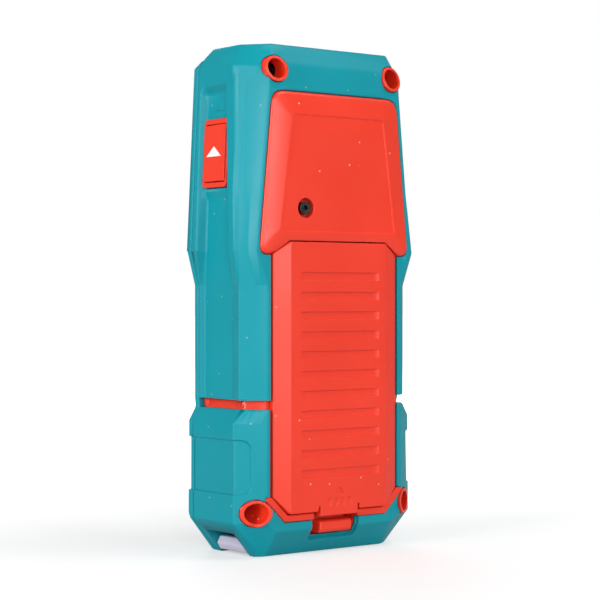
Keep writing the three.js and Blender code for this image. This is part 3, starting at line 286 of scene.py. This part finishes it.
def room_beside(edge):
    """How far the two faces beside an edge can be cut back before their other edges get in the way."""
    start, end = (vert.co for vert in edge.verts)
    room = 1.0
    for face in edge.link_faces:
        for other in face.edges:
            if other is edge:
                continue
            shared = [vert for vert in other.verts if vert in edge.verts]
            if shared:
                side = other.other_vert(shared[0]).co - shared[0].co
                across = math.sin((end - start).angle(side, 0.0))
                if across > 0.25:
                    room = min(room, side.length * across)
                continue
            ends = [vert.co for vert in other.verts]
            for t in (0.1, 0.3, 0.5, 0.7, 0.9):
                room = min(room, nearest(start.lerp(end, t), *ends))
    return room


def clean_copy(name):
    """The faces of a CAD node as a bmesh, with its flat areas joined again."""
    bm = bmesh.new()
    bm.from_mesh(frame["nodes"][name].data)
    bmesh.ops.remove_doubles(bm, verts=bm.verts, dist=0.003 * MM)
    bmesh.ops.dissolve_limit(
        bm, angle_limit=math.radians(0.12), verts=bm.verts, edges=bm.edges, use_dissolve_boundaries=False
    )
    return bm


def bevelled(bm, widths, radius, segments):
    """A new mesh: the bmesh with each edge rounded by its own share of the radius."""
    layers = bm.edges.layers.float
    layer = layers.get("bevel_weight_edge") or layers.new("bevel_weight_edge")
    bm.edges.ensure_lookup_table()
    for edge in bm.edges:
        edge[layer] = 0.0
    for index, width in widths.items():
        bm.edges[index][layer] = width / radius
    mesh = bpy.data.meshes.new("try")
    bm.to_mesh(mesh)
    holder = bpy.data.objects.new("try", mesh)
    bpy.context.collection.objects.link(holder)
    bevel = holder.modifiers.new("round", "BEVEL")
    bevel.limit_method = "WEIGHT"
    bevel.width = radius
    bevel.segments = segments
    bevel.use_clamp_overlap = False
    made = bpy.data.meshes.new_from_object(holder.evaluated_get(bpy.context.evaluated_depsgraph_get()))
    bpy.data.objects.remove(holder)
    bpy.data.meshes.remove(mesh)
    return made


def misfits(made, surface):
    """Points of a rounded mesh where a face has folded over."""
    points = []
    made.calc_loop_triangles()
    for tri in made.loop_triangles:
        if tri.area < 1e-11:
            continue
        a, b, c = (made.vertices[i].co for i in tri.vertices)
        normal = (b - a).cross(c - a).normalized()
        folded = normal.dot(made.polygons[tri.polygon_index].normal) < 0.2
        if not folded:
            _, facing, _, far = surface.find_nearest((a + b + c) / 3)
            folded = facing is not None and far < 0.15 * MM and normal.dot(facing) < -0.1
        if folded:
            points += [a.copy(), b.copy(), c.copy()]
    return points


def edge_widths(bm, radius):
    """How far each edge is cut back: fully at corners, a little at shallow creases between broad faces."""
    widths = {}
    for edge in bm.edges:
        angle = math.degrees(edge.calc_face_angle(0.0)) if len(edge.link_faces) == 2 else 0.0
        if angle < FLAT_ANGLE:
            continue
        room = room_beside(edge)
        width = min(radius, SHARE_OF_ROOM * room)
        if angle < SHARP_ANGLE:
            width = min(width, CREASE_WIDTH) if room > CREASE_ROOM else 0.0
        if width > LEAST_WIDTH:
            widths[edge.index] = width
    return widths


def narrow(bm, widths, points):
    """Halves the rounding of each edge that passes one of the points, and drops it when it gets tiny."""
    tree = KDTree(len(points))
    for i, point in enumerate(points):
        tree.insert(point, i)
    tree.balance()
    for index in list(widths):
        edge = bm.edges[index]
        steps = max(2, int(edge.calc_length() / (0.5 * MM)) + 1)
        start, end = (vert.co for vert in edge.verts)
        stations = (start.lerp(end, k / steps) for k in range(steps + 1))
        if any(tree.find(station)[2] < 1.5 * widths[index] for station in stations):
            widths[index] *= 0.5
            if widths[index] < TINY_WIDTH:
                del widths[index]


def rounded(name, radius, segments=3):
    """A piece that stands for a CAD node, made from its faces, with its sharp edges rounded."""
    bm = clean_copy(name)
    surface = BVHTree.FromBMesh(bm)
    widths = edge_widths(bm, radius)
    made = bevelled(bm, widths, radius, segments)
    for _ in range(HEALING_PASSES):
        points = misfits(made, surface)
        if not points:
            break
        narrow(bm, widths, points)
        made = bevelled(bm, widths, radius, segments)
    bm.free()
    made.name = name + "_shape"
    piece = bpy.data.objects.new(name + "_shape", made)
    bpy.context.collection.objects.link(piece)
    for face in made.polygons:
        face.use_smooth = True
    made.set_sharp_from_angle(angle=math.radians(40))
    weighted = piece.modifiers.new("flats", "WEIGHTED_NORMAL")
    weighted.keep_sharp = True
    weighted.weight = 80
    dress(piece, SLOT_OF[name])
    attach(piece, BODY_OF[name])
    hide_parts(name)
    return piece


# Radius of the rounded edges of each piece, in millimetres
ROUNDED = {
    "upper_overmold": 0.45,
    "lower_overmold": 0.45,
    "front_housing": 0.5,
    "rear_housing": 0.3,
    "battery_cover": 0.25,
    "battery_cover_latch": 0.3,
    "side_button": 0.3,
    "side_button_frame": 0.2,
    "strap_bar": 0.3,
    "aperture_plate": 0.3,
    "display_window": 0.15,
    **{name: 0.35 for name in frame["nodes"] if name.startswith("key_")},
}
for name, radius in ROUNDED.items():
    rounded(name, radius * MM)


# --------------------------------------------------------------------------------------------
# Printed marks
# --------------------------------------------------------------------------------------------
PRINT_TOP = 0.02  # of the ink, in millimetres above the plane that it is printed on
PRINT_ROOT = -0.06


class Print:
    """A very thin printed mark on a plane, given by its middle and the directions of its x and y.

    Its points are in millimetres.
    """

    def __init__(self, origin, right, up):
        self.origin = Vector(origin)
        self.right = Vector(right).normalized()
        self.up = Vector(up).normalized()
        self.out = self.right.cross(self.up)
        self.bm = bmesh.new()

    def point(self, p, lift):
        return self.bm.verts.new(self.origin + (self.right * p[0] + self.up * p[1] + self.out * lift) * MM)

    def fill(self, points):
        """A closed shape, given anticlockwise as seen from outside."""
        top, low = [[self.point(p, lift) for p in points] for lift in (PRINT_TOP, PRINT_ROOT)]
        self.bm.faces.new(top)
        self.bm.faces.new(low[::-1])
        for i in range(len(points)):
            j = (i + 1) % len(points)
            self.bm.faces.new((low[i], low[j], top[j], top[i]))

    def line(self, points, width, closed=False):
        """A line of one width through points, with mitred corners."""
        count = len(points)
        sides = []
        for i in range(count):
            before = Vector(points[i - 1]) if closed or i else None
            after = Vector(points[(i + 1) % count]) if closed or i < count - 1 else None
            here = Vector(points[i])
            d1 = (here - before).normalized() if before is not None else (after - here).normalized()
            d2 = (after - here).normalized() if after is not None else d1
            n1, n2 = Vector((-d1.y, d1.x)), Vector((-d2.y, d2.x))
            mitre = (n1 + n2) / (1 + n1.dot(n2)) * width / 2
            sides.append((here + mitre, here - mitre))
        ends = ((0, PRINT_TOP), (1, PRINT_TOP), (1, PRINT_ROOT), (0, PRINT_ROOT))
        rings = [[self.point(side[k], lift) for k, lift in ends] for side in sides]
        for i in range(count if closed else count - 1):
            one, two = rings[i], rings[(i + 1) % count]
            for k in range(4):
                m = (k + 1) % 4
                self.bm.faces.new((one[k], one[m], two[m], two[k]))
        if not closed:
            self.bm.faces.new(rings[0][::-1])
            self.bm.faces.new(rings[-1])

    def done(self, name, slot, body):
        mesh = bpy.data.meshes.new(name)
        bmesh.ops.recalc_face_normals(self.bm, faces=self.bm.faces)
        self.bm.to_mesh(mesh)
        self.bm.free()
        piece = bpy.data.objects.new(name, mesh)
        bpy.context.collection.objects.link(piece)
        dress(piece, slot)
        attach(piece, body)


def ring_points(r, start=0.0, end=360.0, count=24, middle=(0.0, 0.0)):
    """Points round a circle, or along an arc between two angles in degrees."""
    full = end - start >= 360
    steps = count if full else count - 1
    angles = [math.radians(start + (end - start) * i / steps) for i in range(count)]
    return [(middle[0] + r * math.cos(a), middle[1] + r * math.sin(a)) for a in angles]


def bar(x0, x1, y0, y1):
    return [(x0, y0), (x1, y0), (x1, y1), (x0, y1)]


def outer_face(name, direction):
    """Middle and normal of the largest flat face of a node that looks in a direction."""
    mesh = frame["nodes"][name].data
    facing = [face for face in mesh.polygons if face.normal.dot(direction) > 0.9]
    normal = max(facing, key=lambda face: face.area).normal.copy()
    flat = [face for face in facing if face.normal.dot(normal) > 0.9999]
    level = max(mesh.vertices[i].co.dot(normal) for face in flat for i in face.vertices)
    corners = [mesh.vertices[i].co for face in flat for i in face.vertices]
    points = [p for p in corners if p.dot(normal) > level - 0.01 * MM]
    low = Vector([min(p[k] for p in points) for k in range(3)])
    high = Vector([max(p[k] for p in points) for k in range(3)])
    return (low + high) / 2, normal


def button_mark():
    middle, normal = outer_face("side_button", Vector((1, 0, 0)))
    right = Vector((0, 1, 0))
    mark = Print(middle, right, normal.cross(right))
    mark.fill([(-3.2, -0.8), (2.6, -0.8), (-0.3, 1.6)])
    mark.done("side_button_mark", "white_print", BODY_OF["side_button"])


KEY_LINE = 0.45  # width of the drawn lines, in millimetres


def key_marks():
    plus = [(-0.3, -1.6), (0.3, -1.6), (0.3, -0.3), (1.6, -0.3), (1.6, 0.3), (0.3, 0.3),
            (0.3, 1.6), (-0.3, 1.6), (-0.3, 0.3), (-1.6, 0.3), (-1.6, -0.3), (-0.3, -0.3)]
    arrow = [(-0.25, -0.9), (0.25, -0.9), (0.25, 0.6), (0.9, 0.6), (0, 1.8), (-0.9, 0.6), (-0.25, 0.6)]
    fills = {
        "key_measure": [ring_points(0.8)],
        "key_plus": [plus],
        "key_minus": [bar(-1.6, 1.6, -0.3, 0.3)],
        "key_power": [bar(-0.25, 0.25, 0.2, 2.0)],
        "key_reference": [arrow, bar(-1.7, 1.7, -1.8, -1.35)],
        "key_memory": [bar(-1.8, 1.8, y - 0.25, y + 0.25) for y in (-1.2, 0.0, 1.2)],
    }
    lines = {
        "key_area": [([(-1.8, -1.5), (1.8, -1.5), (1.8, 1.5), (-1.8, 1.5)], True)],
        "key_measure": [(ring_points(2.6, count=32), True)],
        "key_triangle": [([(-2.0, -1.4), (2.0, -1.4), (-2.0, 1.6)], True)],
        "key_timer": [(ring_points(1.7), True), ([(0, 1.1), (0, 0), (0.8, 0)], False)],
        "key_power": [(ring_points(1.6, -235, 55, 20), False)],
    }
    for name in (n for n in frame["nodes"] if n.startswith("key_")):
        middle, _ = outer_face(name, Vector((0, -1, 0)))
        mark = Print(middle, (1, 0, 0), (0, 0, 1))
        for shape in fills.get(name, ()):
            mark.fill(shape)
        for shape, closed in lines.get(name, ()):
            mark.line(shape, KEY_LINE, closed)
        mark.done(name + "_mark", "white_print", BODY_OF[name])


DISPLAY = {"half": 14.2, "high": 19.5, "corner": 1.2}  # the grey field, in millimetres
DIGIT = {"w": 2.6, "h": 2.3, "bar": 0.62, "gap": 0.35}  # height is that of half a digit
DIGIT_LEFT = -7.8
DIGIT_PITCH = 5.2
DIGIT_ROWS = (10.0, 1.5, -7.0, -15.5)


def display_field(middle):
    half, high, r = DISPLAY["half"], DISPLAY["high"], DISPLAY["corner"]
    corners = [
        (half - r, -high + r, -90),
        (half - r, high - r, 0),
        (-half + r, high - r, 90),
        (-half + r, -high + r, 180),
    ]
    field = Print(middle, (1, 0, 0), (0, 0, 1))
    field.fill([p for x, y, a in corners for p in ring_points(r, a, a + 90, 5, (x, y))])
    field.done("display_field", "display_glass", BODY_OF["display_window"])


def display_digits(middle):
    """Three rows of dashes over a row of zeros, each digit made of straight bars."""
    w, h, t, gap = DIGIT["w"], DIGIT["h"], DIGIT["bar"], DIGIT["gap"]
    dash = [(0, h)]
    zero = [(0, 2 * h), (-w / 2, 1.5 * h), (w / 2, 1.5 * h), (-w / 2, h / 2), (w / 2, h / 2), (0, 0)]
    above = Vector((0, -PRINT_TOP * MM, 0))
    digits = Print(middle + above, (1, 0, 0), (0, 0, 1))
    for row, lit in zip(DIGIT_ROWS, (dash, dash, dash, zero)):
        for k in range(4):
            left = DIGIT_LEFT + DIGIT_PITCH * k
            for x, y in lit:
                a, b = (w / 2 - gap, t / 2) if x == 0 else (t / 2, h / 2 - gap)
                digits.fill(bar(left + x - a, left + x + a, row + y - b, row + y + b))
    digits.done("display_digits", "black_plastic", BODY_OF["display_window"])


def display_view():
    """What shows through the window: the grey display field with its rows of digits."""
    middle, _ = outer_face("display_window", Vector((0, -1, 0)))
    display_field(middle)
    display_digits(middle)


button_mark()
key_marks()
display_view()


# --------------------------------------------------------------------------------------------
# Camera, floor and light
# --------------------------------------------------------------------------------------------
CAMERA_AT = (0.2728, 0.3423, 0.0600)
CAMERA_AHEAD = (-0.6217, -0.7833, -0.0021)
CAMERA_LENS = 109.68


def add_camera():
    data = bpy.data.cameras.new("camera")
    data.sensor_width = 36.0
    data.lens = CAMERA_LENS
    data.clip_start = 0.01
    data.clip_end = 20.0
    camera = bpy.data.objects.new("camera", data)
    bpy.context.collection.objects.link(camera)
    camera.location = CAMERA_AT
    ahead = Vector(CAMERA_AHEAD).normalized()
    camera.rotation_euler = ahead.to_track_quat("-Z", "Y").to_euler()
    bpy.context.scene.camera = camera


def add_floor():
    """A pale floor that a camera ray sees fade to white away from the object, as a lit backdrop does."""
    mesh = bpy.data.meshes.new("floor")
    size = 4.0
    bm = bmesh.new()
    corners = [bm.verts.new((x * size, y * size, 0.0)) for x, y in ((-1, -1), (1, -1), (1, 1), (-1, 1))]
    bm.faces.new(corners)
    bm.to_mesh(mesh)
    bm.free()
    floor = bpy.data.objects.new("floor", mesh)
    bpy.context.collection.objects.link(floor)
    n = Nodes("floor")
    tone = n.mix(n.noise(3, 2), (0.60, 0.60, 0.60, 1), (0.63, 0.63, 0.63, 1))
    far = n.add("ShaderNodeVectorMath", operation="LENGTH")
    n.put(far.inputs[0], n.where)
    seen = n.add("ShaderNodeLightPath").outputs["Is Camera Ray"]
    glow = n.ramp(far.outputs["Value"], 0.04, 0.35, 0.46, 1.0)
    n.put(n.bsdf.inputs["Emission Strength"], n.math("MULTIPLY", glow, seen))
    n.put(n.bsdf.inputs["Emission Color"], (1, 1, 1, 1))
    mesh.materials.append(n.finish(tone, 0.9, specular=0.1))


def add_area(name, place, width, height, power):
    data = bpy.data.lights.new(name, "AREA")
    data.shape = "RECTANGLE"
    data.size = width
    data.size_y = height
    data.energy = power
    light = bpy.data.objects.new(name, data)
    bpy.context.collection.objects.link(light)
    light.location = place
    light.rotation_euler = (Vector(AIM) - Vector(place)).to_track_quat("-Z", "Y").to_euler()


FILL = 0.30  # strength of the even light round the object
AIM = (0, 0, 0.06)
LIGHTS = {  # place, width and height in metres, power in watts
    "key_light": ((-0.12, 0.95, 0.25), 0.22, 0.42, 2.2),
    "camera_light": ((0.52, 0.84, 0.34), 0.3, 0.4, 3.4),
    "side_light": ((1.00, 0.10, 0.25), 0.4, 0.5, 5.8),
    "front_fill": ((-0.45, -0.85, 0.40), 0.5, 0.5, 3.2),
    "top_light": ((-0.35, 0.40, 0.85), 0.4, 0.4, 2.2),
}


def add_lights():
    world = bpy.data.worlds.new("world")
    world.use_nodes = True
    tree = world.node_tree
    background = tree.nodes["Background"]
    background.inputs["Color"].default_value = (1, 1, 1, 1)
    # White to look at, as a photographer's backdrop is, and a dim even fill for the object.
    seen = tree.nodes.new("ShaderNodeLightPath")
    level = tree.nodes.new("ShaderNodeMapRange")
    level.inputs["To Min"].default_value = FILL
    level.inputs["To Max"].default_value = 1.0
    tree.links.new(seen.outputs["Is Camera Ray"], level.inputs["Value"])
    tree.links.new(level.outputs["Result"], background.inputs["Strength"])
    bpy.context.scene.world = world
    for name, settings in LIGHTS.items():
        add_area(name, *settings)


add_camera()
add_floor()
add_lights()
bpy.context.scene.view_settings.view_transform = "Standard"
